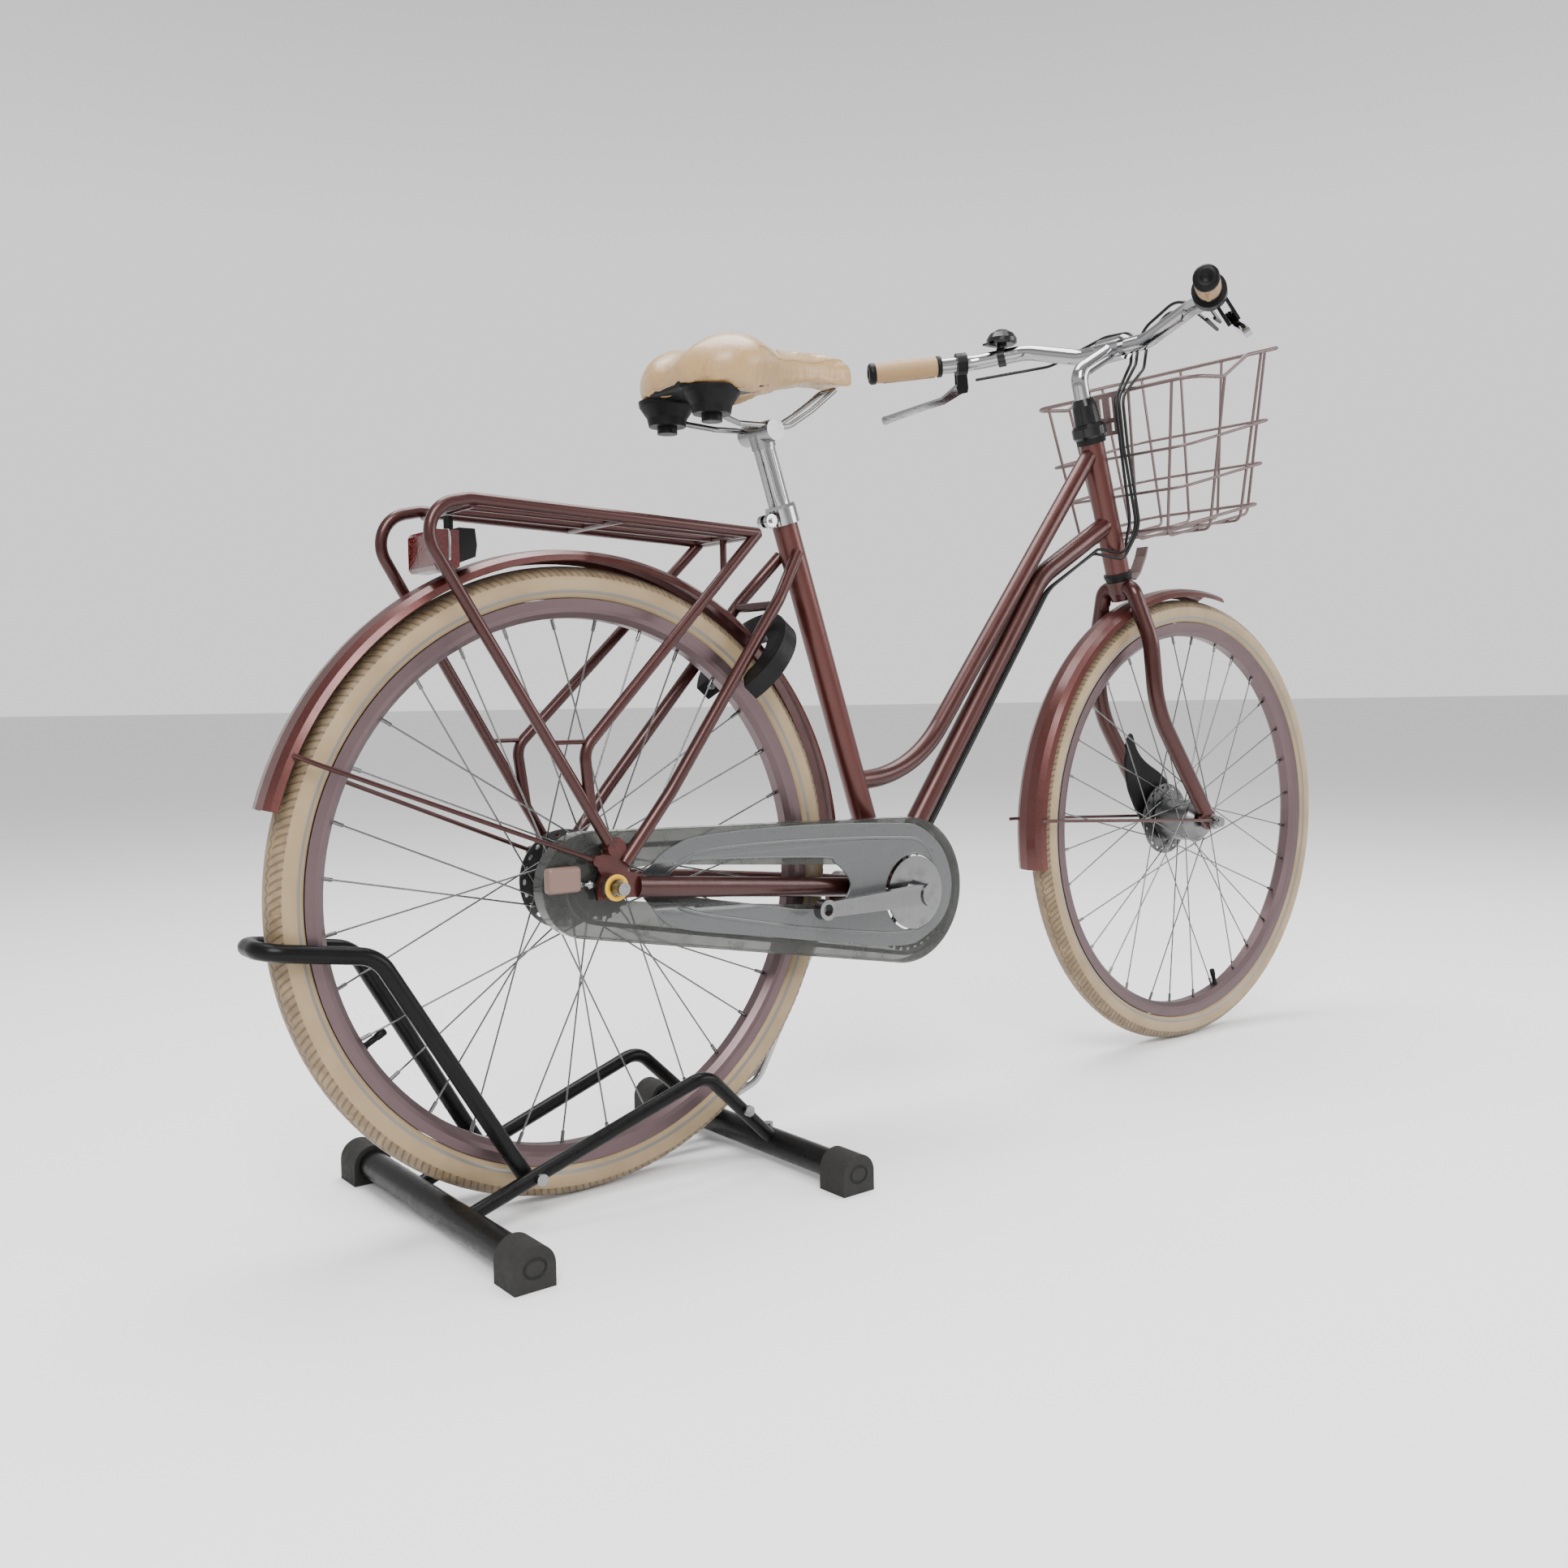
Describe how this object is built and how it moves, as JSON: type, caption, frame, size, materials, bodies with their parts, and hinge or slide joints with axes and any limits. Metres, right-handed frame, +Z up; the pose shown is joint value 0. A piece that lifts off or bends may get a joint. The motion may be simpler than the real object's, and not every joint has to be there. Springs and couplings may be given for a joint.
{
  "type": "bicycle on stand",
  "caption": "Step-through town bicycle with wire front basket, rear carrier, chain case and mudguards, its rear wheel held upright in a tubular floor stand.",
  "frame": {"origin": "on the floor under the middle of the whole object's length and width", "axes": "+X from the rear wheel to the front wheel, +Y to the rider's left, +Z up"},
  "size_m": [1.8259, 0.6828, 1.1302],
  "materials": {
    "copper_paint": "metallic satin",
    "stand_black": "satin black",
    "cap_rubber": "worn matt",
    "zinc": "satin",
    "cream_tyre": "matt rubber",
    "mauve_rim": "satin anodised",
    "spoke_steel": "bright",
    "hub_alloy": "satin",
    "polished_alloy": "polished",
    "black_plastic": "satin",
    "tan_leather": "stitched satin",
    "red_lens": "gloss",
    "smoke_plastic": "smoked satin",
    "basket_wire": "gloss"
  },
  "bodies": {
    "stand": {"stand_bars": "stand_black", "stand_end_caps": "cap_rubber", "stand_rails": "stand_black", "stand_hoop": "stand_black", "stand_bolts": "zinc"},
    "frame": {"bottom_bracket": "copper_paint", "seat_tube": "copper_paint", "head_tube": "copper_paint", "upper_tube": "copper_paint", "down_tube": "copper_paint", "chainstays": "copper_paint", "seatstays": "copper_paint", "headset_cups": "black_plastic", "seat_clamp": "zinc", "rear_mudguard": "copper_paint", "rear_mudguard_stays": "copper_paint", "rear_carrier": "copper_paint", "tail_light": "black_plastic", "tail_light_lens": "red_lens", "chain": "zinc", "chaincase": "smoke_plastic", "rear_axle": "zinc", "lock_body": "black_plastic", "frame_cables": "black_plastic"},
    "lock_shackle": {"lock_shackle": "zinc"},
    "kickstand": {"kickstand": "spoke_steel"},
    "saddle": {"seatpost": "hub_alloy", "saddle_frame": "zinc", "saddle_springs": "cap_rubber", "saddle_cover": "tan_leather", "saddle_base": "black_plastic"},
    "crankset": {"chainring": "zinc", "crank_axle": "zinc", "cranks": "polished_alloy"},
    "sprocket": {"rear_sprocket": "zinc"},
    "rear_wheel": {"rear_tyre": "cream_tyre", "rear_rim": "mauve_rim", "rear_spokes": "spoke_steel", "rear_hub": "hub_alloy"},
    "steering": {"fork": "copper_paint", "front_axle": "zinc", "front_mudguard": "copper_paint", "front_mudguard_stays": "copper_paint", "headset_nut": "black_plastic", "stem": "polished_alloy", "handlebar": "polished_alloy", "grips": "tan_leather", "lever_clamps": "black_plastic", "bell": "black_plastic", "basket": "basket_wire", "basket_bracket": "basket_wire", "steering_cables": "black_plastic"},
    "front_wheel": {"front_tyre": "cream_tyre", "front_rim": "mauve_rim", "front_spokes": "spoke_steel", "front_hub": "hub_alloy"},
    "twist_shifter": {"twist_shifter": "black_plastic"},
    "left_lever": {"left_brake_lever": "polished_alloy"},
    "right_lever": {"right_brake_lever": "polished_alloy"},
    "bell_lever": {"bell_lever": "black_plastic"}
  },
  "joints": [
    {"name": "bike_lift", "type": "slide", "parent": "stand", "child": "frame", "axis": [0, 0, 1], "range_m": [0, 0.4]},
    {"name": "steering_turn", "type": "hinge", "parent": "frame", "child": "steering", "pos_m": [0.4015, 0, 0.736], "axis": [-0.304, 0, 0.9527], "range_deg": [-45, 45], "deforming": ["frame_cables"]},
    {"name": "front_wheel_spin", "type": "hinge", "parent": "steering", "child": "front_wheel", "pos_m": [0.5625, 0, 0.35], "axis": [0, 1, 0], "continuous": true},
    {"name": "rear_wheel_spin", "type": "hinge", "parent": "frame", "child": "rear_wheel", "pos_m": [-0.5425, 0, 0.35], "axis": [0, 1, 0], "continuous": true},
    {"name": "crank_spin", "type": "hinge", "parent": "frame", "child": "crankset", "pos_m": [-0.0855, 0, 0.3], "axis": [0, 1, 0], "continuous": true},
    {"name": "sprocket_spin", "type": "hinge", "parent": "frame", "child": "sprocket", "pos_m": [-0.5425, 0, 0.35], "axis": [0, 1, 0], "continuous": true},
    {"name": "saddle_height", "type": "slide", "parent": "frame", "child": "saddle", "axis": [-0.319, 0, 0.9478], "range_m": [-0.05, 0.06]},
    {"name": "kickstand_fold", "type": "hinge", "parent": "frame", "child": "kickstand", "pos_m": [-0.1505, 0, 0.276], "axis": [0, 1, 0], "range_deg": [0, 25]},
    {"name": "lock_turn", "type": "hinge", "parent": "frame", "child": "lock_shackle", "pos_m": [-0.30476, 0, 0.59595], "axis": [0.7716, 0, -0.6361], "range_deg": [-100, 0]},
    {"name": "left_lever_pull", "type": "hinge", "parent": "steering", "child": "left_lever", "pos_m": [0.3235, 0.25, 1.05], "axis": [0.4162, 0.751, 0.5125], "range_deg": [0, 12], "stiffness_Nm_per_rad": 0.6},
    {"name": "right_lever_pull", "type": "hinge", "parent": "steering", "child": "right_lever", "pos_m": [0.3235, -0.25, 1.05], "axis": [-0.4162, 0.751, -0.5125], "range_deg": [0, 12], "stiffness_Nm_per_rad": 0.6},
    {"name": "shifter_twist", "type": "hinge", "parent": "steering", "child": "twist_shifter", "pos_m": [0.27423, -0.25061, 1.07554], "axis": [0.8339, 0.54, 0.114], "range_deg": [-45, 45]},
    {"name": "bell_flick", "type": "hinge", "parent": "steering", "child": "bell_lever", "pos_m": [0.34738, 0.1848, 1.10618], "axis": [0, 0, 1], "range_deg": [0, 25], "stiffness_Nm_per_rad": 0.02}
  ],
  "couplings": [
    {"joint": "sprocket_spin", "follows": "crank_spin", "ratio": 2}
  ]
}
